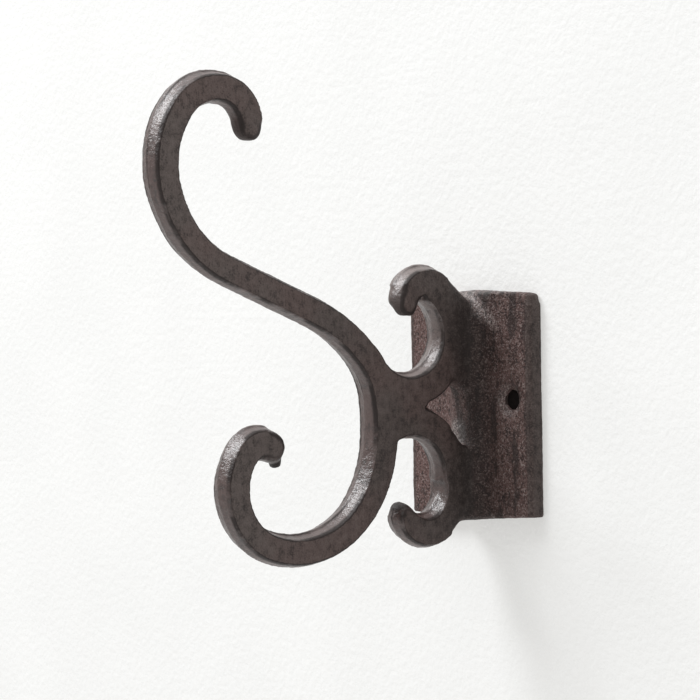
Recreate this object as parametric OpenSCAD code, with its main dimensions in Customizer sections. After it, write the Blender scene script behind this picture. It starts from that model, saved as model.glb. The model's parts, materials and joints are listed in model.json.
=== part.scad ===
// Cast iron coat hook: one casting. A wall plate carries an upright web with a tall coat arm
// that curls over at its top, a J-shaped hook below it and two small C-scrolls back to back,
// which tie the trunk to the plate and leave a pointed eye between them.
//
// Millimetres, +Z up. The plate's back lies on the wall plane y = 0 and the origin is its
// centre. The hook reaches out along -Y, and the web's middle plane is x = 0, which is also
// the plane where the two halves of the mould met.

/* [Wall plate] */
// Width of the plate along the wall
plate_width = 46.2; // [42:0.2:60]
// Height of the plate at its middle
plate_height = 57.6; // [55:0.1:62]
// Thickness of the plate
plate_thick = 4.2; // [3:0.1:7]
// How much lower the plate's top is at its ends than at its middle
plate_draft = 1.3; // [0:0.1:3]
// Radius on the plate's left front edge
left_edge = 0.5; // [0.3:0.1:2.6]
// Radius on the plate's right front edge
right_edge = 2.0; // [0.3:0.1:2.6]

/* [Screw holes] */
// Diameter of a screw hole
hole_dia = 5; // [3:0.1:6]
// Distance between the two screw holes, along the wall
hole_spacing = 30.4; // [28:0.2:32]
// Height of the right screw hole above the plate's middle
right_hole_lift = 1.3; // [-6:0.1:8]
// Height of the left screw hole above the plate's middle
left_hole_lift = 6.6; // [-6:0.1:8]
// Diameter of the countersink at the plate's face
sink_dia = 9.2; // [7:0.1:11]
// Depth of the countersink
sink_depth = 1.2; // [0.4:0.1:2]

/* [Bar] */
// Thickness of the bars, across the hook
bar_depth = 7; // [4:0.1:9]
// Width of a bar's flat side face
bar_face = 5.8; // [5:0.1:7]
// Width of the trunk's side face, where the scrolls join it
trunk_face = 6.8; // [6:0.1:7.5]
// Width of the side face of the bars that form the eye
link_face = 6.8; // [6:0.1:7.5]
// How far a bar's edges stand out where the mould halves met
bar_draft = 0.9; // [0:0.1:1.3]
// How far the two mould halves were out of line
mould_shift = 0.7; // [0:0.1:1]
// Share of its depth that the far half of the arm and the lower hook keeps at the tip
tip_share = 0.3; // [0.2:0.05:1]

/* [Trunk] */
// Distance from the plate's face to the middle of the trunk
trunk_reach = 28.7; // [27.2:0.1:30.2]
// Height of the trunk's upright stretch, from the plate's middle
trunk_level = -4.2; // [-6:0.1:-2]
// Radius of the trunk's bend
trunk_bend = 39; // [34:0.5:48]

/* [Coat arm] */
// Radius where the arm leaves the trunk
shoulder_bend = 20; // [14:0.5:26]
// Radius of the arm's long hollow
hollow_bend = 41.4; // [34:0.1:50]
// Length of the arm's slope
slope_run = 27.2; // [14:0.1:40]
// Radius where the arm turns up
belly_bend = 27.1; // [20:0.1:34]
// Radius of the arm's front
front_bend = 22; // [16:0.5:28]
// Radius of the arm's brow
brow_bend = 12.6; // [9:0.1:18]
// Radius of the curl at the top of the arm
curl_bend = 8.1; // [6.5:0.1:11]
// Radius of the curl's rounded end
curl_end = 3.3; // [2.8:0.1:3.8]

/* [Lower hook] */
// Radius of the hook's back
back_bend = 25.6; // [21:0.1:32]
// Radius of the hook's front
nose_bend = 14.6; // [12:0.1:19]
// Radius of the hook's lip
lip_bend = 5.8; // [5.4:0.1:8]
// Radius of the lip's rounded end
lip_end = 3.3; // [2.8:0.1:3.8]

/* [Scrolls] */
// Radius inside the upper scroll
upper_void = 10.3; // [9.3:0.1:10.8]
// Radius inside the lower scroll
lower_void = 10.4; // [9.4:0.1:10.9]
// Radius of the upper scroll's curled end
upper_curl = 6.4; // [5.6:0.1:7.2]
// Radius of the lower scroll's curled end
lower_curl = 8.4; // [8:0.1:9]
// Radius of the upper scroll's tip
upper_tip = 2.8; // [2.4:0.1:3.2]
// Radius of the lower scroll's tip
lower_tip = 1.9; // [1.5:0.1:2.3]

/* [Root] */
// Radius of the fillet between the web and the plate
root_fillet = 5.5; // [3.5:0.1:6.5]
// Height of the ridge that crosses the eye
ridge_rise = 2.3; // [1:0.1:3]
// Radius of the eye's upper corner
eye_corner = 4.3; // [2.5:0.1:5]

/* [Hidden] */
$fn = 96;
iron = [0.23, 0.20, 0.18];
half_depth = bar_depth / 2;
half_width = plate_width / 2;
half_height = plate_height / 2;
side_height = half_height - plate_draft;
wing = half_depth + root_fillet;
fillet_sink = 0.4;
// How far the fillets' upper end stays below the plate's top
crown_drop = 0.6;
// The bars are drawn to a half depth of 1. The seam's half width is in that measure too.
seam = 0.03;
// How much of the bars' draft their rounded ends have
blunt = 0.4;
// The most that a bar turns, and the furthest it runs straight, from one ring to the next
ring_turn = 6;
ring_gap = 9;

// A run is a path through the hook's side view, whose points are [out, up]. It starts at a
// place on a heading and takes steps [radius, turn], where a positive turn bends to the left.
// A step of radius 0 is straight, and its second number is then a length.
function left(heading) = [-sin(heading), cos(heading)];
function ahead(heading) = [cos(heading), sin(heading)];
function step_end(at, heading, step) =
    step[0] == 0
        ? at + step[1] * ahead(heading)
        : at + sign(step[1]) * step[0] * (left(heading) - left(heading + step[1]));
function step_heading(heading, step) = step[0] == 0 ? heading : heading + step[1];
function step_length(step) = step[0] == 0 ? step[1] : step[0] * abs(step[1]) * PI / 180;
function step_cuts(step) =
    step[0] == 0 ? ceil(step[1] / ring_gap) : ceil(abs(step[1]) / ring_turn);

// Stations along a run: [place, heading, distance travelled]
function stations(at, heading, steps, travelled = 0, i = 0) =
    i == len(steps)
        ? [[at, heading, travelled]]
        : let (step = steps[i], cuts = step_cuts(step))
            concat(
                [for (j = [0 : cuts - 1])
                    let (part = [step[0], step[1] * j / cuts])
                        [step_end(at, heading, part), step_heading(heading, part),
                         travelled + step_length(part)]],
                stations(step_end(at, heading, step), step_heading(heading, step), steps,
                         travelled + step_length(step), i + 1));

// One ring of a bar: its flat side faces, and its edges drafted out to the parting line.
// The far half of the mould stood mould_shift higher. The ring is square to the path where
// side = 1 and lead = 0, and goes round the path's end as lead nears 1 or -1. Near a tip the
// far half can be less than 1 deep, and have a lead of its own.
function ring(at, heading, half_face, deep = 1, side = 1, lead = 0, far_lead = 0) =
    let (wide = half_face + bar_draft, far = [0, mould_shift])
        [for (p = [[1, half_face, 1, 0], [-1, half_face, 1, 0],
                   [-1, wide, seam, 0], [-1, wide, -seam, 1],
                   [-1, half_face, -1, 1], [1, half_face, -1, 1],
                   [1, wide, -seam, 1], [1, wide, seam, 0]])
            let (flat = at + p[1] * p[0] * side * left(heading)
                      + (half_face + blunt * (p[1] - half_face))
                          * (p[3] == 0 ? lead : far_lead) * ahead(heading)
                      + p[3] * far)
                [flat[0], flat[1], p[2] > -1 ? p[2] : -deep]];

// The rings of a run, whose half widths come from pairs [share of the length, half width]
// and whose far depths come from pairs [share of the length, share of half the bars' depth]
function run_rings(run, widths, depths = [[0, 1], [1, 1]]) =
    let (length = run[len(run) - 1][2])
        [for (s = run)
            let (share = s[2] / length)
                ring(s[0], s[1], lookup(share, widths), lookup(share, depths))];

// The rings round a run's end
function end_rings(run, radius, deep, far_round) =
    let (last = run[len(run) - 1])
        [for (a = [15 : 15 : 75])
            ring(last[0], last[1], radius, deep, cos(a), sin(a), far_round * sin(a))];

// A run with a rounded end, and the same run taken backwards. Its far half is described by
// [share of the length from which it thins, depth at the tip, how round its end is].
function rounded_run(run, widths, far) =
    let (depths = [[far[0], 1], [1, far[1]]])
        concat(run_rings(run, widths, depths),
               end_rings(run, lookup(1, widths), far[1], far[2]));
function turned_ring(r) = [r[1], r[0], r[7], r[6], r[5], r[4], r[3], r[2]];
function backwards(rings) = [for (i = [len(rings) - 1 : -1 : 0]) turned_ring(rings[i])];

// A closed solid through rings of eight points
module skin(rings) {
    last = 8 * (len(rings) - 1);
    polyhedron(
        points = [for (r = rings, point = r) point],
        faces = concat(
            [[for (i = [0 : 7]) i]],
            [[for (i = [7 : -1 : 0]) last + i]],
            [for (j = [0 : 8 : last - 8], i = [0 : 7])
                [j + i, j + 8 + i, j + 8 + (i + 1) % 8, j + (i + 1) % 8]]));
}

trunk_at = [-trunk_reach, trunk_level];
arm_steps = [
    [trunk_bend, 10.3], [shoulder_bend, 32], [hollow_bend, 25.9], [0, slope_run],
    [belly_bend, -55.9], [front_bend, -51.6], [brow_bend, -62.4], [curl_bend, -64.7],
    [1.5 * curl_bend, -14],
];
hook_steps = [[trunk_bend, -17.4], [back_bend, -91.6], [nose_bend, -107], [lip_bend, -89]];

// Each scroll is a link round its void, from the trunk to the plate, and a bar that leaves
// the plate and curls over
link_reach = trunk_reach - 7.9;
upper_at = [-link_reach, 17.4];
lower_at = [-link_reach, -17.4];
// The filling of the eye's narrow corner: its point, and half its height at the trunk
crotch_point = [-15.6, 0.3];
crotch_half = 4;
// The angle at which each link starts, and how far it goes round
upper_link = [-138, 200];
lower_link = [-8, 133];
// Corners of the web's root beside the plate: at the upper scroll, at the plate, and round
// the lower scroll's void
root_corners = [
    [-8.5, 24.5], [-4, 24.5], [0.5, 22.5], [0.5, -28.4], [-5, -28.2], [-9, -30.5],
    [-12.4, -27.2], [-10.9, -24.2], [-10.1, -21.2], [-10.2, -15],
];
upper_root = [-1, 21.5];
lower_root = [-4.5, -20.7];
upper_heading = 141;
lower_heading = 236;
upper_steps = [[0, 12.6], [upper_curl, 129]];
lower_steps = [
    [0, 8], [lower_curl, -54], [0.9 * lower_curl, -44], [0.55 * lower_curl, -36], [0, 1],
];
upper_widths = [[0, bar_face / 2], [0.7, bar_face / 2], [1, upper_tip]];
lower_widths = [
    [0, bar_face / 2], [0.32, 1.09 * bar_face / 2], [0.62, 1.12 * bar_face / 2],
    [0.84, 1.03 * bar_face / 2], [1, lower_tip],
];
arm_far = [0.86, tip_share, 1];
hook_far = [0.8, tip_share, 1];
upper_far = [0.5, 0.8, 0.2];
lower_far = [0.5, 0.85, 1];

// Maps a drawing of the hook's side view [out, up], and its height, to the part's frame
module upright() {
    translate([0, -plate_thick, 0]) rotate([90, 0, 90]) children();
}

// The coat arm, the trunk and the lower hook, as one bar
module trunk_bar() {
    arm = rounded_run(stations(trunk_at, 90, arm_steps),
        [[0, trunk_face / 2], [0.3, bar_face / 2], [0.88, bar_face / 2], [1, curl_end]],
        arm_far);
    hook = rounded_run(stations(trunk_at, 270, hook_steps),
        [[0, trunk_face / 2], [0.3, bar_face / 2], [0.85, bar_face / 2], [1, lip_end]],
        hook_far);
    skin(concat(backwards(arm), [for (i = [1 : len(hook) - 1]) hook[i]]));
}

// A scroll's bar, from the plate to its rounded tip
module scroll_bar(at, heading, steps, widths, far) {
    skin(rounded_run(stations(at, heading, steps), widths, far));
}

// The bar round a scroll's void, from an angle and through a turn
module link(centre, void_radius, turn) {
    radius = void_radius + link_face / 2;
    run = stations(centre + radius * ahead(turn[0]), turn[0] + 90, [[radius, turn[1]]]);
    skin(run_rings(run, [[0, link_face / 2], [1, link_face / 2]]));
}

// The narrow corner of the eye at the trunk, filled
module crotch() {
    translate([0, 0, -1]) linear_extrude(2)
        polygon([[2 - trunk_reach, crotch_half], crotch_point, [2 - trunk_reach, -crotch_half]]);
}

// The web where it meets the plate, behind the scrolls' bars
module root_block() {
    translate([0, 0, -1]) linear_extrude(2) polygon(root_corners);
}

// The fillet's section beside the web, from a little inside the plate up
module fillet_section() {
    difference() {
        translate([0, -fillet_sink]) square([wing, root_fillet]);
        translate([wing, root_fillet - fillet_sink / 4]) circle(root_fillet);
    }
}

// Fillets along both sides of the web, rounding its upper end
module root_fillets() {
    crown = half_height - wing - crown_drop;
    rotate([90, 0, 0]) translate([0, crown, plate_thick]) rotate_extrude() fillet_section();
    for (side = [0, 1]) mirror([side, 0, 0])
        translate([0, -plate_thick, -half_height]) mirror([0, 1, 0])
            linear_extrude(half_height + crown) fillet_section();
}

// The eye between the scrolls, through the web and the fillets
module eye() {
    corner = [-ridge_rise - eye_corner, 1.2];
    above = [[-18, 0], [-9.8, 7.6], [corner[0], corner[1] + eye_corner]];
    below = [[-ridge_rise, corner[1]], [-ridge_rise, -10.6], [-5.6, -9.3], [-9, -8.6]];
    translate([0, 0, -wing]) linear_extrude(2 * wing) {
        polygon(concat(above, below));
        translate(corner) circle(eye_corner);
    }
}

// The bars and the block at their root, brought to their full depth as one shape
module bars() {
    resize([bar_depth, 0, 0]) upright() {
        difference() {
            root_block();
            eye();
        }
        crotch();
        trunk_bar();
        scroll_bar(upper_root, upper_heading, upper_steps, upper_widths, upper_far);
        scroll_bar(lower_root, lower_heading, lower_steps, lower_widths, lower_far);
        link(upper_at, upper_void, upper_link);
        link(lower_at, lower_void, lower_link);
    }
}

module web() {
    difference() {
        intersection() {
            root_fillets();
            plate_outline(plate_thick + root_fillet);
        }
        upright() eye();
    }
    bars();
}

// The plate's outline seen from the front, drawn out of the wall
module plate_outline(depth) {
    rotate([90, 0, 0]) linear_extrude(depth)
        polygon([[-half_width, -side_height], [0, -half_height], [half_width, -side_height],
                 [half_width, side_height], [0, half_height], [-half_width, side_height]]);
}

// The plate's section seen from above, with its front edges rounded
module plate_section() {
    translate([left_edge - half_width, -plate_thick])
        square([plate_width - left_edge - right_edge, plate_thick]);
    translate([-half_width, left_edge - plate_thick])
        square([half_width, plate_thick - left_edge]);
    translate([0, right_edge - plate_thick]) square([half_width, plate_thick - right_edge]);
    translate([left_edge - half_width, left_edge - plate_thick]) circle(left_edge);
    translate([half_width - right_edge, right_edge - plate_thick]) circle(right_edge);
}

module plate() {
    intersection() {
        plate_outline(plate_thick);
        translate([0, 0, -half_height]) linear_extrude(plate_height) plate_section();
    }
}

module screw_holes() {
    for (at = [[-hole_spacing / 2, left_hole_lift], [hole_spacing / 2, right_hole_lift]])
        translate([at[0], 0, at[1]]) rotate([90, 0, 0]) {
            translate([0, 0, -1]) cylinder(h = plate_thick + root_fillet + 1, d = hole_dia);
            translate([0, 0, plate_thick - sink_depth])
                cylinder(h = sink_depth, d1 = hole_dia, d2 = sink_dia);
            translate([0, 0, plate_thick]) cylinder(h = root_fillet, d = sink_dia);
        }
}

module coat_hook() {
    color(iron) difference() {
        union() {
            plate();
            web();
        }
        screw_holes();
    }
}

coat_hook();
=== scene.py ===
"""A cast iron coat hook on a pale wall: the rough-cast hook, its waxed iron, and the stage."""

import json
import math

import bpy
from bpy.props import FloatProperty, FloatVectorProperty, IntProperty, PointerProperty
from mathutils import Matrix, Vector

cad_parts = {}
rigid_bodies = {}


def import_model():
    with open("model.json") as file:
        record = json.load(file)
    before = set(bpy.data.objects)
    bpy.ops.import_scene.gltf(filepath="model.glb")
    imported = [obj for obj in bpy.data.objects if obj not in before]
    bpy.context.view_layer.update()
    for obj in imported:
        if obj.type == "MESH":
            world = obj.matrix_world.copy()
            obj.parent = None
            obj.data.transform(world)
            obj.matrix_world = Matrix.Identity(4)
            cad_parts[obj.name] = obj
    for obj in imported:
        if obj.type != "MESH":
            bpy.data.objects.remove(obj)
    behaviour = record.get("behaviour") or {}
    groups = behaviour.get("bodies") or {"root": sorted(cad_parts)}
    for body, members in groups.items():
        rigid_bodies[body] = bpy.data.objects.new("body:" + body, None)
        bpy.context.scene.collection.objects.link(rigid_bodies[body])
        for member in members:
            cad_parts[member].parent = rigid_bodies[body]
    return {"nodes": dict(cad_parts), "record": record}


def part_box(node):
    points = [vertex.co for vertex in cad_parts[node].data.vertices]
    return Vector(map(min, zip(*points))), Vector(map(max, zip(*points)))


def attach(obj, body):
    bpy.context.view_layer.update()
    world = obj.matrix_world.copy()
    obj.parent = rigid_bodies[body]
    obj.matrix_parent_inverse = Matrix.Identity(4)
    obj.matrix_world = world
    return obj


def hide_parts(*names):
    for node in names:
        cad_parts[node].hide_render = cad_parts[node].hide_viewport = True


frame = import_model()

bl_info = {
    "name": "Cast Iron Coat Hook",
    "version": (1, 0, 0),
    "blender": (4, 5, 0),
    "location": "3D View > Sidebar > Coat Hook",
    "description": "Gives a coat hook its sand-cast surface and finish, and sets its stage",
    "category": "Add Mesh",
}

MM = 0.001
NODE = "coat_hook"
IMAGE_PIXELS = 700
SENSOR_MM = 36.0
HOOK_LOW, HOOK_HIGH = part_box(NODE)
SCREWS = [mount for mount in frame["record"]["mounts"] if "screw" in mount["name"]]
# The turn of a sheet or disc that stands against the wall
UPRIGHT = (math.radians(90), 0, 0)

# ------------------------------------------------------------ the casting's shape

# Points of the CAD mesh that are nearer than this are one point
MERGE_GAP = 0.002 * MM
# How far one smoothing pass moves a point towards the middle of its neighbours
SMOOTH_SHARE = 0.5
# The grey of a cloud that leaves the surface where it is
CLOUD_MIDDLE = 0.5
# The ends of the top curl, the lower hook and the two scrolls, and how far each one reaches
TIPS = (
    (Vector((0, -73.5, 65.0)) * MM, 6 * MM),
    (Vector((0, -64.5, -9.5)) * MM, 6.5 * MM),
    (Vector((0, -26.5, 24.5)) * MM, 5.5 * MM),
    (Vector((0, -27.5, -23.0)) * MM, 4 * MM),
)
# The plate's upper corners: their breadth, and where they begin and end in height
CORNER = 3.5 * MM
CORNER_LOW = 25.0 * MM
CORNER_HIGH = 30.0 * MM
# The web's root: half its width with its fillets, its height off the wall, and the plate's skin
WEB_HALF = 9 * MM
WEB_OUT = 13 * MM
PLATE_SKIN = 1.5 * MM
# The block that stands out of the lower hook's lip as a flash of iron: its middle and its size
FLASH_PLACE = Vector((-1.2, -63.7, -11.2)) * MM
FLASH_SIZE = Vector((3.6, 3.4, 5.6)) * MM

# ---------------------------------------------- where the iron's skin changes
# Each pair is where a change begins and where it is complete.

# How squarely a face is turned sideways: on a bar's flat side, and on the rim round it
FLAT_SIDE = (0.80, 0.97)
RIM_BEGINS = (0.45, 0.75)
RIM_ENDS = (0.93, 0.995)
# Out from the wall: the plate's front, the end of the root, the end of the painted light on the
# bars' strips, and the painted light that pales the flat sides outwards
PLATE_FRONT = (1 * MM, 2 * MM)
ROOT_ENDS = (8 * MM, 16 * MM)
LIT_STRIP_ENDS = (26 * MM, 34 * MM)
OUTER_LIGHT_GROWS = (20 * MM, 95 * MM)
# To either side of the middle: the mould's seam, the bars' corners, the plate's plain ends
SEAM_HALF = (0.1 * MM, 0.4 * MM)
BAR_CORNERS = (1.9 * MM, 2.8 * MM)
PLAIN_ENDS = (21.2 * MM, 21.8 * MM)
# From left to right: the end of the plate's rose, painted light with a redder skin, and the
# painted shade on the web's right flank
SUNLIT_ROSE_ENDS = (-9 * MM, 0.0)
FLANK_BEGINS = (0.5 * MM, 3 * MM)
FLANK_ENDS = (4 * MM, 14 * MM)
# Up from the plate's middle: the bars' upper strips, lit by painted light, and the plate's top
# edge with its painted highlight
LIT_STRIP_BEGINS = (0.0, 10 * MM)
TOP_HIGHLIGHT = (27.2 * MM, 28.2 * MM)
# The painted highlights on the plate's shoulders, one on each side: the slope and place of
# their lines, how far from the line the highlight goes, and where it ends to the side
SHOULDER_SLOPE = (0.63, 0.77)
SHOULDER_AT = 21.8 * MM
SHOULDER_BREADTH = (0.4 * MM, 2.4 * MM)
SHOULDER_ENDS = (8 * MM, 13 * MM)
# The painted highlight in the eye, across and up, and its reach; the painted highlight rings
# round the screws
EYE_HIGHLIGHT = (-2.5 * MM, -7 * MM)
EYE_HIGHLIGHT_ENDS = (2 * MM, 5 * MM)
RING_BEGINS = (2.4 * MM, 2.8 * MM)
RING_ENDS = (3.6 * MM, 4.8 * MM)
# The painted shade at a tip fades from here outwards, to the tip's own reach
TIP_HEART = 1.5 * MM
# The painted shadow under the flash: its drop below the flash's middle, its reach, and its
# right-hand end
FLASH_SHADOW_DROP = 2.2 * MM
FLASH_SHADOW_ENDS = (1.8 * MM, 2.8 * MM)
FLASH_SHADOW_SIDE = (0.8 * MM, 2 * MM)
# Levels of the cloudy noises, which are centred on NOISE_MIDDLE
NOISE_MIDDLE = 0.5
CORNER_CLOUDS = (0.36, 0.54)
SEAM_BREAKS = (0.45, 0.55)
BROWN_PATCHES = (0.42, 0.62)
DRIPS = (0.38, 0.52)
# painted sparkles of light on the plate's print
SPARKLE_LEVELS = (0.53, 0.62)
PORES = (0.38, 0.48)

# ------------------------------------------- how much of each tone a place takes

# What the bars' flat sides and the plate's plain ends lack of the sand's print, and how much
# of the flat sides' colour the plain ends take
PLAIN_SHARE = 0.8
# painted light: the flat sides grow paler far out from the wall
OUTER_LIGHT_SHARE = 0.75
BROWN_SHARE = 0.35
# painted light on the plate's left, paler and redder where the key lamp falls
SUNLIT_ROSE_SHARE = 0.6
# painted highlights on the plate's top edge and round the screws
TOP_HIGHLIGHT_SHARE = 0.8
RING_SHARE = 0.5
# painted light on the bars' upper strips
LIT_STRIP_GLINT = 0.3
EDGE_SOOT = 0.25
# painted shade on the web's right flank
FLANK_SHADE = 0.75
SEAM_SOOT = 0.8
# painted shade at the bars' tips
TIP_SHADE = 0.65
CORNER_SOOT = 0.9
PORE_SOOT = 0.8
DRIP_SOOT = 0.7
# The mottling's contrast in fine grain and in broad clouds, how fast it turns to soot or to
# glint, and the most that it takes of each
FINE_CONTRAST = 10.0
CLOUD_CONTRAST = 2.5
MOTTLE_SOOT = 0.6
MOTTLE_SOOT_MOST = 0.8
MOTTLE_GLINT = 0.08
MOTTLE_GLINT_MOST = 0.3
# Old wax shines over the bars' edges and a part of the painted highlights, and the rest is matt
HIGHLIGHT_GLOSS = 0.7
MATT_REFRACTION = 1.38
MATT_ROUGHNESS = 0.45
WAX_REFRACTION = 1.9
WAX_ROUGHNESS = 0.23
RELIEF_DEPTH = 0.35 * MM

# ------------------------------------------------------------------- the stage

# The plate's thickness; the camera's turn away from the plate's middle, and its tilt
PLATE_THICK = 4.2 * MM
AIM_ASIDE = math.radians(2.4235)
CAMERA_ROLL = math.radians(0.937)
# The dark discs in the screw holes, painted shade in the bores: their sides, their share of the
# bore, and their distance from the wall
DISC_SIDES = 48
HOLE_SHARE = 0.995
DISC_DEPTH = 2.4 * MM
# The wall and the floor
SHEET_SIZE = 6.0
FLOOR_PLACE = (0, -1.0, -1.2)
# The plaster's two tones, and the level of the noise between them
PLASTER_DARK = (0.49, 0.49, 0.49)
PLASTER_LIGHT = (0.51, 0.51, 0.51)
PLASTER_PATCHES = (0.3, 0.7)
# A backdrop lit from behind: its own light, which keeps the shadows on it pale
WALL_GLOW = 0.42
WALL_GLOW_COLOUR = (1.0, 0.995, 0.97, 1.0)
# The two tones of the painted shade in a screw hole
HOLE_SHADE_BLACK = (0.006, 0.005, 0.005)
HOLE_SHADE_PALER = (0.016, 0.013, 0.012)
# What the lamps are aimed at: the hook's middle, out from the wall and up
LIT_PLACE = Vector((0, HOOK_LOW.y / 2, 20 * MM))
# The lamps are a little cooler than the room
LAMP_COLOUR = (0.965, 0.985, 1.0)
# The broad light overhead
TOP_SIZE = 1.0
TOP_PLACE = Vector((0.0, -0.45, 1.4))


# ---------------------------------------------------------------- properties


class CastingSettings(bpy.types.PropertyGroup):
    """How the foundry left the hook"""

    mesh_size: FloatProperty(
        name="Mesh size",
        description="Spacing of the casting's surface points",
        default=0.43 * MM,
        unit="LENGTH",
    )
    edge_round: IntProperty(
        name="Edge rounding",
        description="How many smoothing passes soften the casting's edges",
        default=3,
    )
    tip_round: IntProperty(
        name="Tip rounding",
        description="How many further passes round off the bars' tips",
        default=12,
    )
    corner_round: IntProperty(
        name="Corner rounding",
        description="How many further passes round off the plate's upper corners",
        default=30,
    )
    root_round: IntProperty(
        name="Root rounding",
        description="How many further passes blend the web into the plate",
        default=14,
    )
    lump_height: FloatProperty(
        name="Lump height",
        description="How far the faces wander from true",
        default=0.28 * MM,
        unit="LENGTH",
    )
    lump_size: FloatProperty(
        name="Lump size",
        description="Breadth of the wandering of the faces",
        default=9 * MM,
        unit="LENGTH",
    )
    sand_height: FloatProperty(
        name="Sand height",
        description="Depth of the sand's print on the surface",
        default=0.16 * MM,
        unit="LENGTH",
    )
    sand_size: FloatProperty(
        name="Sand size",
        description="Breadth of the sand's print",
        default=1.3 * MM,
        unit="LENGTH",
    )


class IronSettings(bpy.types.PropertyGroup):
    """The colours of the waxed iron"""

    flat: FloatVectorProperty(
        name="Flat sides",
        description="The smoother iron of the bars' flat sides",
        subtype="COLOR",
        default=(0.062, 0.046, 0.042),
    )
    # painted light: the paler flat sides far out from the wall
    dust: FloatVectorProperty(
        name="Paler sides",
        description="The flat sides far out from the wall, where dust has settled in the wax",
        subtype="COLOR",
        default=(0.100, 0.079, 0.073),
    )
    skin: FloatVectorProperty(
        name="Cast skin",
        description="The brown skin on the plate and round the bars' edges",
        subtype="COLOR",
        default=(0.098, 0.055, 0.049),
    )
    # painted light on the plate's left, with a redder skin
    rose: FloatVectorProperty(
        name="Rusty rose",
        description="The redder skin on the plate's left",
        subtype="COLOR",
        default=(0.16, 0.088, 0.08),
    )
    # the soot colour also paints shade on the web's flank, at the tips and under the flash
    soot: FloatVectorProperty(
        name="Soot",
        description="The black that stays in the sand's print",
        subtype="COLOR",
        default=(0.013, 0.008, 0.007),
    )
    # painted highlights: the plate's sparkles and the lit strips; also the paler spots of the
    # mottling
    glint: FloatVectorProperty(
        name="Glint",
        description="The worn tops of the sand's print",
        subtype="COLOR",
        default=(0.30, 0.25, 0.235),
    )


class StageSettings(bpy.types.PropertyGroup):
    """Where the camera stands and how bright the room is"""

    camera_distance: FloatProperty(
        name="Camera distance",
        description="From the plate's face to the camera",
        default=0.7,
        unit="LENGTH",
    )
    camera_azimuth: FloatProperty(
        name="Camera azimuth",
        description="Camera's turn from the wall's outward direction towards +X",
        default=math.radians(50),
        subtype="ANGLE",
    )
    camera_rise: FloatProperty(
        name="Camera rise",
        description="Camera's height above the plate's middle",
        default=14.2 * MM,
        unit="LENGTH",
    )
    focal_pixels: FloatProperty(
        name="Focal length in pixels",
        description="Focal length over the width of one pixel",
        default=2791.0,
    )
    key_power: FloatProperty(
        name="Key light",
        description="Power of the soft box at the upper left",
        default=24.0,
        unit="POWER",
    )
    key_size: FloatProperty(
        name="Key size",
        description="Width of the soft box",
        default=0.7,
        unit="LENGTH",
    )
    key_distance: FloatProperty(
        name="Key distance",
        description="From the hook to the soft box",
        default=1.8,
        unit="LENGTH",
    )
    key_from: FloatVectorProperty(
        name="Key direction",
        description="Where the soft box stands, as seen from the hook",
        subtype="DIRECTION",
        default=(-0.42, -0.53, 0.74),
    )
    top_power: FloatProperty(
        name="Top light",
        description="Power of the broad light overhead",
        default=8.0,
        unit="POWER",
    )
    room_light: FloatProperty(
        name="Room light",
        description="Brightness of the light from all round",
        default=0.48,
    )
    room_colour: FloatVectorProperty(
        name="Room colour",
        description="Colour of the light from all round",
        subtype="COLOR",
        default=(1.0, 0.99, 0.965),
    )


# ------------------------------------------------------------- shader helpers


class Sock:
    """A shader socket that takes part in sums: s * 2 + t adds the Math nodes."""

    def __init__(self, sheet, socket):
        self.sheet, self.socket = sheet, socket

    def _math(self, operation, *values):
        return self.sheet.add("Math", {"operation": operation}, *values)

    def __add__(self, other):
        return self._math("ADD", self, other)

    def __radd__(self, other):
        return self._math("ADD", other, self)

    def __sub__(self, other):
        return self._math("SUBTRACT", self, other)

    def __rsub__(self, other):
        return self._math("SUBTRACT", other, self)

    def __mul__(self, other):
        return self._math("MULTIPLY", self, other)

    def __rmul__(self, other):
        return self._math("MULTIPLY", other, self)

    def __pow__(self, other):
        return self._math("POWER", self, other)

    def __abs__(self):
        return self._math("ABSOLUTE", self)

    def least(self, other):
        return self._math("MINIMUM", self, other)

    def most(self, other):
        return self._math("MAXIMUM", self, other)

    def step(self, low, high):
        """0 below low, 1 above high, and smooth between."""
        settings = {"interpolation_type": "SMOOTHSTEP"}
        values = {"Value": self, "From Min": low, "From Max": high}
        return self.sheet.add("MapRange", settings, **values)


def distance(first, second, centre):
    """How far a place is from a centre, by two of its numbers."""
    one, other = first - centre[0], second - centre[1]
    return (one * one + other * other) ** 0.5


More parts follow.
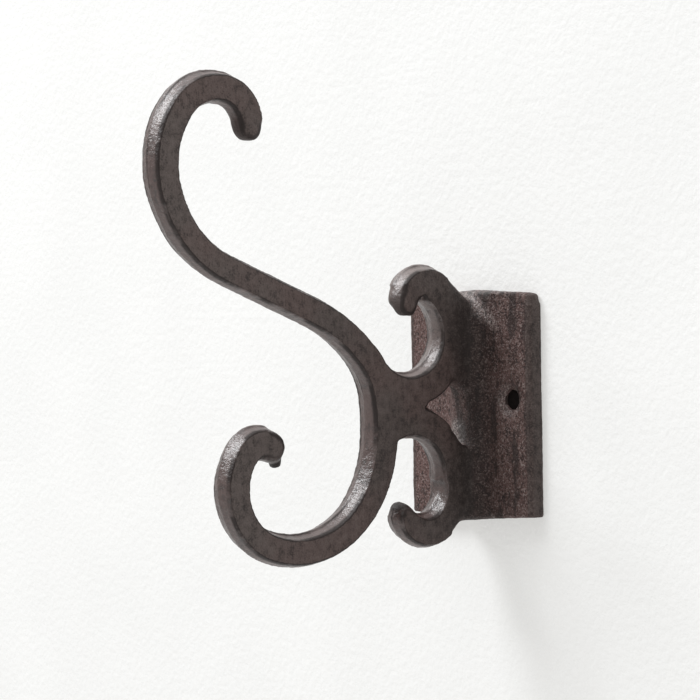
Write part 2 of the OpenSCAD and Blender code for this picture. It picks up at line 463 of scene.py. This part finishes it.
class Sheet:
    """The nodes of one material."""

    def __init__(self, name):
        self.material = bpy.data.materials.new(name)
        self.material.use_nodes = True
        self.nodes = self.material.node_tree.nodes
        self.links = self.material.node_tree.links
        self.nodes.clear()

    def add(self, kind, settings=None, *values, output=0, **named):
        """A node of a kind, with its settings made first and then its sockets filled."""
        node = self.nodes.new("ShaderNode" + kind)
        for key, value in (settings or {}).items():
            setattr(node, key, value)
        for index, value in enumerate(values):
            self._fill(node.inputs[index], value)
        for key, value in named.items():
            self._fill(self._input(node, key), value)
        return Sock(self, node.outputs[output]) if node.outputs else None

    @staticmethod
    def _input(node, key):
        wanted = key.replace("_", " ")
        return next(s for s in node.inputs if s.name == wanted and s.enabled)

    def _fill(self, socket, value):
        if isinstance(value, Sock):
            self.links.new(value.socket, socket)
        elif socket.type == "RGBA" and len(value) == 3:
            socket.default_value = (*value, 1.0)
        else:
            socket.default_value = value

    def mix(self, share, first, second):
        """Colours first and second, mixed by share."""
        # a Mix node has one result for each type of data, and a colour's is the third
        return self.add("Mix", {"data_type": "RGBA"}, output=2, Factor=share, A=first, B=second)

    def place(self):
        """The place on the piece, in metres."""
        return self.add("TexCoord", output="Object")

    def part(self, vector, axis):
        """One number of a vector."""
        return self.add("SeparateXYZ", None, vector, output=axis)

    def noise(self, place, scale, detail, roughness):
        """Cloudy noise on a place. The scale is in features per metre."""
        return self.add(
            "TexNoise", None, Vector=place, Scale=scale, Detail=detail, Roughness=roughness
        )

    def stretched(self, place, scale):
        """A place scaled by a different amount along each axis."""
        return self.add("Mapping", None, Vector=place, Scale=scale)

    def one_sided(self, shader):
        """A shader that a camera behind the sheet sees through."""
        backfacing = self.add("NewGeometry", output="Backfacing")
        return self.add("MixShader", None, backfacing, shader, self.add("BsdfTransparent"))

    def finish(self, shader):
        self.add("OutputMaterial", None, Surface=shader)
        return self.material


# ------------------------------------------------------------------- the iron


class IronSheet(Sheet):
    """The nodes of the waxed iron, with the places and noises that its masks share."""

    def __init__(self):
        super().__init__("waxed_cast_iron")
        place = self.place()
        self.turned_side = abs(self.part(self.add("TexCoord", output="Normal"), "X"))
        self.across = self.part(place, "X")
        self.sideways = abs(self.across)
        self.out_of_wall = self.part(place, "Y") * -1.0
        self.height = self.part(place, "Z")

        self.grain = self.noise(place, scale=2300.0, detail=2.0, roughness=0.6)
        self.sand = self.noise(place, scale=950.0, detail=3.0, roughness=0.6)
        self.blotch = self.noise(place, scale=520.0, detail=3.0, roughness=0.65)
        self.cloud = self.noise(place, scale=110.0, detail=4.0, roughness=0.6)
        self.patch = self.noise(place, scale=40.0, detail=3.0, roughness=0.5)
        # features per metre along each axis: fine upright streaks, and broader drips
        streaks = self.stretched(place, (1500.0, 1500.0, 170.0))
        drips = self.stretched(place, (330.0, 330.0, 90.0))
        self.streak = self.noise(streaks, scale=1.0, detail=2.0, roughness=0.5)
        self.drip = self.noise(drips, scale=1.0, detail=3.0, roughness=0.6)

        # the bars' flat sides, the sand-printed root, its plain ends, and the bars' edges
        self.flat_side = self.turned_side.step(*FLAT_SIDE)
        self.root = 1.0 - self.out_of_wall.step(*ROOT_ENDS)
        self.plain_end = self.root * self.sideways.step(*PLAIN_ENDS)
        smooth = (1.0 - self.flat_side * PLAIN_SHARE) * (1.0 - self.plain_end * PLAIN_SHARE)
        self.printed = self.root * smooth
        self.edge = (1.0 - self.root) * (1.0 - self.flat_side)

    def worn_places(self):
        """Painted highlights on the plate's shoulders, top edge and eye, and on the rings round
        the screws.
        """
        slope_across, slope_up = SHOULDER_SLOPE
        from_line = abs(self.sideways * slope_across + self.height * slope_up - SHOULDER_AT)
        painted_highlight = 1.0 - from_line.step(*SHOULDER_BREADTH)
        painted_highlight = painted_highlight * (1.0 - self.sideways.step(*SHOULDER_ENDS))
        painted_highlight = painted_highlight.most(self.height.step(*TOP_HIGHLIGHT) * TOP_HIGHLIGHT_SHARE)
        from_eye = distance(self.across, self.height, EYE_HIGHLIGHT)
        painted_highlight = painted_highlight.most(1.0 - from_eye.step(*EYE_HIGHLIGHT_ENDS))
        for screw in SCREWS:
            x, _, z = screw["pos_m"]
            from_screw = distance(self.across, self.height, (x, z))
            ring = from_screw.step(*RING_BEGINS) * (1.0 - from_screw.step(*RING_ENDS))
            painted_highlight = painted_highlight.most(ring * RING_SHARE)
        return painted_highlight * self.printed * self.out_of_wall.step(*PLATE_FRONT)

    def sooty_places(self):
        """Soot along the mould's seam and on the bars' corners, painted shade at the tips, and
        a painted shadow under the flash.
        """
        rim = self.turned_side.step(*RIM_BEGINS) * (1.0 - self.turned_side.step(*RIM_ENDS))
        corner = rim.most(self.sideways.step(*BAR_CORNERS) * self.edge)
        corner = corner * self.cloud.step(*CORNER_CLOUDS) * (1.0 - self.root)
        seam = (1.0 - self.sideways.step(*SEAM_HALF)) * self.patch.step(*SEAM_BREAKS)
        # painted shade at the tips
        at_tips = 0.0
        for tip, reach in TIPS:
            from_tip = distance(self.out_of_wall, self.height, (-tip.y, tip.z))
            at_tips = 1.0 - from_tip.step(TIP_HEART, reach) + at_tips
        # painted shadow under the flash, on the lip's left
        below_flash = (-FLASH_PLACE.y, FLASH_PLACE.z - FLASH_SHADOW_DROP)
        from_flash = distance(self.out_of_wall, self.height, below_flash)
        flash = 1.0 - from_flash.step(*FLASH_SHADOW_ENDS)
        flash = flash * (1.0 - self.across.step(*FLASH_SHADOW_SIDE))
        soot_and_shade = self.edge * (seam * SEAM_SOOT).most(at_tips * TIP_SHADE)
        return soot_and_shade.most(corner * CORNER_SOOT).most(flash)

    def tone(self, settings, painted_highlight, soot_and_shade):
        """The colour: the ground tones with their painted light and shade, then the mottling,
        the sand's print with its painted sparkles, and the soot and painted shade.
        """
        # painted shade on the web's right flank
        flank = self.root * self.across.step(*FLANK_BEGINS)
        flank = flank * (1.0 - self.across.step(*FLANK_ENDS))
        # painted light on the plate's left
        sunlit_rose_mask = self.printed * (1.0 - self.across.step(*SUNLIT_ROSE_ENDS))
        # painted light on the bars' upper strips
        lit_strips = self.edge * (1.0 - self.out_of_wall.step(*LIT_STRIP_ENDS))
        lit_strips = lit_strips * self.height.step(*LIT_STRIP_BEGINS)
        brown = self.patch.step(*BROWN_PATCHES) * BROWN_SHARE
        # painted light: the flat sides paler far out from the wall
        outer_light = self.out_of_wall.step(*OUTER_LIGHT_GROWS) * OUTER_LIGHT_SHARE

        flat = self.mix(outer_light, settings.flat, settings.dust)
        tone = self.mix(self.flat_side * (1.0 - brown), settings.skin, flat)
        tone = self.mix(self.plain_end * PLAIN_SHARE, tone, settings.flat)
        tone = self.mix(sunlit_rose_mask * SUNLIT_ROSE_SHARE, tone, settings.rose)
        tone = self.mix(self.edge * EDGE_SOOT, tone, settings.soot)
        tone = self.mix(lit_strips * LIT_STRIP_GLINT, tone, settings.glint)
        tone = self.mix(flank * (1.0 - painted_highlight) * FLANK_SHADE, tone, settings.soot)

        fine = self.grain * 0.35 + self.streak * 0.15 + self.blotch * 0.5 - NOISE_MIDDLE
        shade = fine * FINE_CONTRAST + (self.cloud - NOISE_MIDDLE) * CLOUD_CONTRAST
        darker = (shade * -MOTTLE_SOOT).most(0.0).least(MOTTLE_SOOT_MOST)
        lighter = (shade * MOTTLE_GLINT).most(0.0).least(MOTTLE_GLINT_MOST)
        tone = self.mix(darker, tone, settings.soot)
        tone = self.mix(lighter, tone, settings.glint)

        # painted sparkles show most where the plate has its painted highlights, and least on
        # the painted shade of the web's flank
        painted_sparkles = (self.grain * 0.7 + self.sand * 0.3 + painted_highlight * 0.06).step(*SPARKLE_LEVELS)
        painted_sparkles = painted_sparkles * self.printed * (0.6 - flank * 0.4 + painted_highlight * 0.4)
        pores = 1.0 - (self.grain * 0.6 + self.sand * 0.4).step(*PORES)
        dripped = (1.0 - self.drip.step(*DRIPS)) * (self.printed - sunlit_rose_mask)
        tone = self.mix(painted_sparkles, tone, settings.glint)
        tone = self.mix(pores * self.printed * PORE_SOOT, tone, settings.soot)
        tone = self.mix(dripped * DRIP_SOOT, tone, settings.soot)
        return self.mix(soot_and_shade, tone, settings.soot)

    def relief(self):
        """The sand's fine print, deeper at the root than on the bars."""
        height = self.sand * (0.5 + self.printed * 0.8)
        height = height + self.grain * (0.4 + self.printed * 0.5) + self.cloud * 0.6
        return self.add("Bump", None, Strength=1.0, Distance=RELIEF_DEPTH, Height=height)


def waxed_iron(settings):
    """Sand-cast iron under old wax: smooth and grey on the bars' flat sides, brown on the
    skin round them, and printed by the sand on the plate."""
    iron = IronSheet()
    painted_highlight = iron.worn_places()
    soot_and_shade = iron.sooty_places()
    look = {"Base_Color": iron.tone(settings, painted_highlight, soot_and_shade), "Normal": iron.relief()}
    rough = iron.cloud * 0.12 + iron.grain * 0.1
    matt = iron.add(
        "BsdfPrincipled", None, IOR=MATT_REFRACTION, Roughness=rough + MATT_ROUGHNESS, **look
    )
    waxed = iron.add(
        "BsdfPrincipled", None, IOR=WAX_REFRACTION, Roughness=rough + WAX_ROUGHNESS, **look
    )
    gloss = (iron.edge - soot_and_shade).most(painted_highlight * HIGHLIGHT_GLOSS)
    return iron.finish(iron.add("MixShader", None, gloss, matt, waxed))


def painted_wall():
    """Pale matt plaster with a faint roller texture, and with a light of its own."""
    wall = Sheet("painted_wall")
    place = wall.place()
    roller = wall.noise(place, scale=480.0, detail=3.0, roughness=0.6)
    broad = wall.noise(place, scale=24.0, detail=2.0, roughness=0.5)
    plaster = wall.add(
        "BsdfPrincipled",
        None,
        Base_Color=wall.mix(broad.step(*PLASTER_PATCHES), PLASTER_DARK, PLASTER_LIGHT),
        Roughness=0.8,
        Specular_IOR_Level=0.2,
        Emission_Color=WALL_GLOW_COLOUR,
        Emission_Strength=WALL_GLOW,
        Normal=wall.add("Bump", None, Strength=0.8, Distance=0.5 * MM, Height=roller),
    )
    return wall.finish(wall.one_sided(plaster))


def painted_hole_shade():
    """Painted shade in a screw hole: a near-black sheet inside the bore."""
    dark = Sheet("drilled_hole")
    dust = dark.noise(dark.place(), scale=900.0, detail=2.0, roughness=0.5)
    tone = dark.mix(dust, HOLE_SHADE_BLACK, HOLE_SHADE_PALER)
    shader = dark.add(
        "BsdfPrincipled", None, Base_Color=tone, Roughness=0.95, Specular_IOR_Level=0.0
    )
    return dark.finish(dark.one_sided(shader))


# ------------------------------------------------------------------ modelling


def deselect_all():
    for thing in bpy.context.view_layer.objects:
        thing.select_set(False)


def take(thing):
    """Makes one object the only one selected, and the active one."""
    deselect_all()
    thing.select_set(True)
    bpy.context.view_layer.objects.active = thing


def apply_modifier(thing, kind, **settings):
    modifier = thing.modifiers.new(kind.title(), kind)
    for key, value in settings.items():
        setattr(modifier, key, value)
    bpy.ops.object.modifier_apply(modifier=modifier.name)


def weld_block(thing, place, size):
    """Joins a small block to a mesh."""
    bpy.ops.mesh.primitive_cube_add(size=1.0, location=place, scale=size)
    block = bpy.context.active_object
    bpy.ops.object.transform_apply(location=True, rotation=True, scale=True)
    take(thing)
    block.select_set(True)
    bpy.ops.object.join()


def near_tip(place):
    """Whether a place is at the end of a curl."""
    return any((place - tip).yz.length < reach for tip, reach in TIPS)


def near_plate_top(place):
    """Whether a place is at one of the plate's upper corners."""
    return abs(place.x) > HOOK_HIGH.x - CORNER and CORNER_LOW < place.z < CORNER_HIGH


def near_root(place):
    """Whether a place is where the web meets the plate."""
    return abs(place.x) < WEB_HALF and -WEB_OUT < place.y < -PLATE_SKIN


def soften(thing, chosen, passes):
    """Smooths the chosen places of a mesh."""
    take(thing)
    for vertex in thing.data.vertices:
        vertex.select = chosen(vertex.co)
    bpy.ops.object.mode_set(mode="EDIT")
    bpy.ops.mesh.vertices_smooth(factor=SMOOTH_SHARE, repeat=passes)
    bpy.ops.object.mode_set(mode="OBJECT")


def roughen(thing, name, size, depth, height):
    """Moves a surface in and out by a cloud of one size and depth of detail."""
    texture = bpy.data.textures.new(name, "CLOUDS")
    texture.noise_scale = size
    texture.noise_depth = depth
    apply_modifier(
        thing, "DISPLACE", texture=texture, strength=height, mid_level=CLOUD_MIDDLE
    )


def dress(thing, material):
    thing.data.materials.clear()
    thing.data.materials.append(material)


def copy_of_node(name, piece_name):
    """A merged copy of a CAD node's mesh, as a piece of its own."""
    mesh = frame["nodes"][name].data.copy()
    piece = bpy.data.objects.new(piece_name, mesh)
    bpy.context.scene.collection.objects.link(piece)
    take(piece)
    bpy.ops.object.mode_set(mode="EDIT")
    bpy.ops.mesh.select_all(action="SELECT")
    bpy.ops.mesh.remove_doubles(threshold=MERGE_GAP)
    bpy.ops.object.mode_set(mode="OBJECT")
    return piece


# ------------------------------------------------------------------ operators


class COATHOOK_OT_casting(bpy.types.Operator):
    """Remesh the hook finely, soften its edges and print the sand on it"""

    bl_idname = "coathook.casting"
    bl_label = "Cast the Hook"

    def execute(self, context):
        settings = context.scene.coathook_casting
        casting = copy_of_node(NODE, "hook_casting")
        # remeshing makes one skin of the casting and the block
        weld_block(casting, FLASH_PLACE, FLASH_SIZE)
        apply_modifier(
            casting, "REMESH", mode="VOXEL", voxel_size=settings.mesh_size, adaptivity=0.0
        )
        apply_modifier(
            casting, "SMOOTH", factor=SMOOTH_SHARE, iterations=settings.edge_round
        )
        soften(casting, near_tip, settings.tip_round)
        soften(casting, near_root, settings.root_round)
        soften(casting, near_plate_top, settings.corner_round)
        roughen(casting, "lumps", settings.lump_size, 2, settings.lump_height)
        roughen(casting, "sand", settings.sand_size, 1, settings.sand_height)
        bpy.ops.object.shade_smooth()
        dress(casting, waxed_iron(context.scene.coathook_iron))
        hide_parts(NODE)
        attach(casting, "root")
        return {"FINISHED"}


def flat_sheet(name, place, turn):
    """A square sheet whose mesh stands in place, under an object at the origin."""
    deselect_all()
    bpy.ops.mesh.primitive_plane_add(size=SHEET_SIZE, location=place, rotation=turn)
    sheet = bpy.context.active_object
    sheet.name = name
    bpy.ops.object.transform_apply(location=True, rotation=True, scale=True)
    return sheet


def drilled_hole(screw, material):
    """A dark disc in a screw hole's bore, as painted shade."""
    x, _, z = screw["pos_m"]
    deselect_all()
    bpy.ops.mesh.primitive_circle_add(
        vertices=DISC_SIDES,
        radius=screw["dims"]["r_mm"] * MM * HOLE_SHARE,
        fill_type="NGON",
        location=(x, -DISC_DEPTH, z),
        rotation=UPRIGHT,
    )
    disc = bpy.context.active_object
    disc.name = screw["name"] + "_drilling"
    bpy.ops.object.transform_apply(location=True, rotation=True, scale=True)
    dress(disc, material)
    return disc


def area_light(name, size, power, place):
    """A square soft box that faces the hook."""
    light = bpy.data.lights.new(name, "AREA")
    light.shape = "SQUARE"
    light.size = size
    light.energy = power
    light.color = LAMP_COLOUR
    lamp = bpy.data.objects.new(name, light)
    lamp.location = place
    lamp.rotation_euler = (LIT_PLACE - place).to_track_quat("-Z", "Y").to_euler()
    bpy.context.scene.collection.objects.link(lamp)


class COATHOOK_OT_stage(bpy.types.Operator):
    """Stand the hook on a pale wall over a pale floor, and light and frame it"""

    bl_idname = "coathook.stage"
    bl_label = "Set the Stage"

    def execute(self, context):
        settings = context.scene.coathook_stage
        plaster = painted_wall()
        wall = flat_sheet("wall", (0, 0, 0), UPRIGHT)
        dress(wall, plaster)
        floor = flat_sheet("floor", FLOOR_PLACE, (0, 0, 0))
        dress(floor, plaster)
        # dark discs in the screw holes: painted shade
        hole_shade_material = painted_hole_shade()
        for screw in SCREWS:
            drilled_hole(screw, hole_shade_material)
        self.light(context.scene, settings)
        self.frame_camera(context.scene, settings)
        return {"FINISHED"}

    def light(self, scene, settings):
        key_place = LIT_PLACE + settings.key_distance * Vector(settings.key_from).normalized()
        area_light("key", settings.key_size, settings.key_power, key_place)
        area_light("top", TOP_SIZE, settings.top_power, TOP_PLACE)
        world = bpy.data.worlds.new("room")
        world.use_nodes = True
        sky = world.node_tree.nodes["Background"]
        sky.inputs["Color"].default_value = (*settings.room_colour, 1.0)
        sky.inputs["Strength"].default_value = settings.room_light
        scene.world = world
        scene.view_settings.view_transform = "Standard"

    def frame_camera(self, scene, settings):
        azimuth = settings.camera_azimuth
        outward = Vector((math.sin(azimuth), -math.cos(azimuth), 0))
        place = Vector((0, -PLATE_THICK, 0)) + settings.camera_distance * outward
        place.z = settings.camera_rise
        camera = bpy.data.cameras.new("camera")
        camera.sensor_width = SENSOR_MM
        camera.lens = settings.focal_pixels * SENSOR_MM / IMAGE_PIXELS
        stand = bpy.data.objects.new("camera", camera)
        stand.location = place
        stand.rotation_euler = (math.radians(90), CAMERA_ROLL, azimuth + AIM_ASIDE)
        scene.collection.objects.link(stand)
        scene.camera = stand


class COATHOOK_PT_panel(bpy.types.Panel):
    """The steps that dress and stage the hook"""

    bl_label = "Coat Hook"
    bl_space_type = "VIEW_3D"
    bl_region_type = "UI"
    bl_category = "Coat Hook"

    def draw(self, context):
        groups = (
            (context.scene.coathook_casting, COATHOOK_OT_casting),
            (context.scene.coathook_iron, None),
            (context.scene.coathook_stage, COATHOOK_OT_stage),
        )
        for settings, operator in groups:
            box = self.layout.box()
            for name in settings.__annotations__:
                box.prop(settings, name)
            if operator:
                box.operator(operator.bl_idname)


CLASSES = (
    CastingSettings,
    IronSettings,
    StageSettings,
    COATHOOK_OT_casting,
    COATHOOK_OT_stage,
    COATHOOK_PT_panel,
)


def register():
    for item in CLASSES:
        bpy.utils.register_class(item)
    bpy.types.Scene.coathook_casting = PointerProperty(type=CastingSettings)
    bpy.types.Scene.coathook_iron = PointerProperty(type=IronSettings)
    bpy.types.Scene.coathook_stage = PointerProperty(type=StageSettings)


def unregister():
    del bpy.types.Scene.coathook_stage
    del bpy.types.Scene.coathook_iron
    del bpy.types.Scene.coathook_casting
    for item in reversed(CLASSES):
        bpy.utils.unregister_class(item)


def main():
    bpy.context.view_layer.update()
    register()
    bpy.ops.coathook.casting()
    bpy.ops.coathook.stage()


if __name__ == "__main__":
    main()
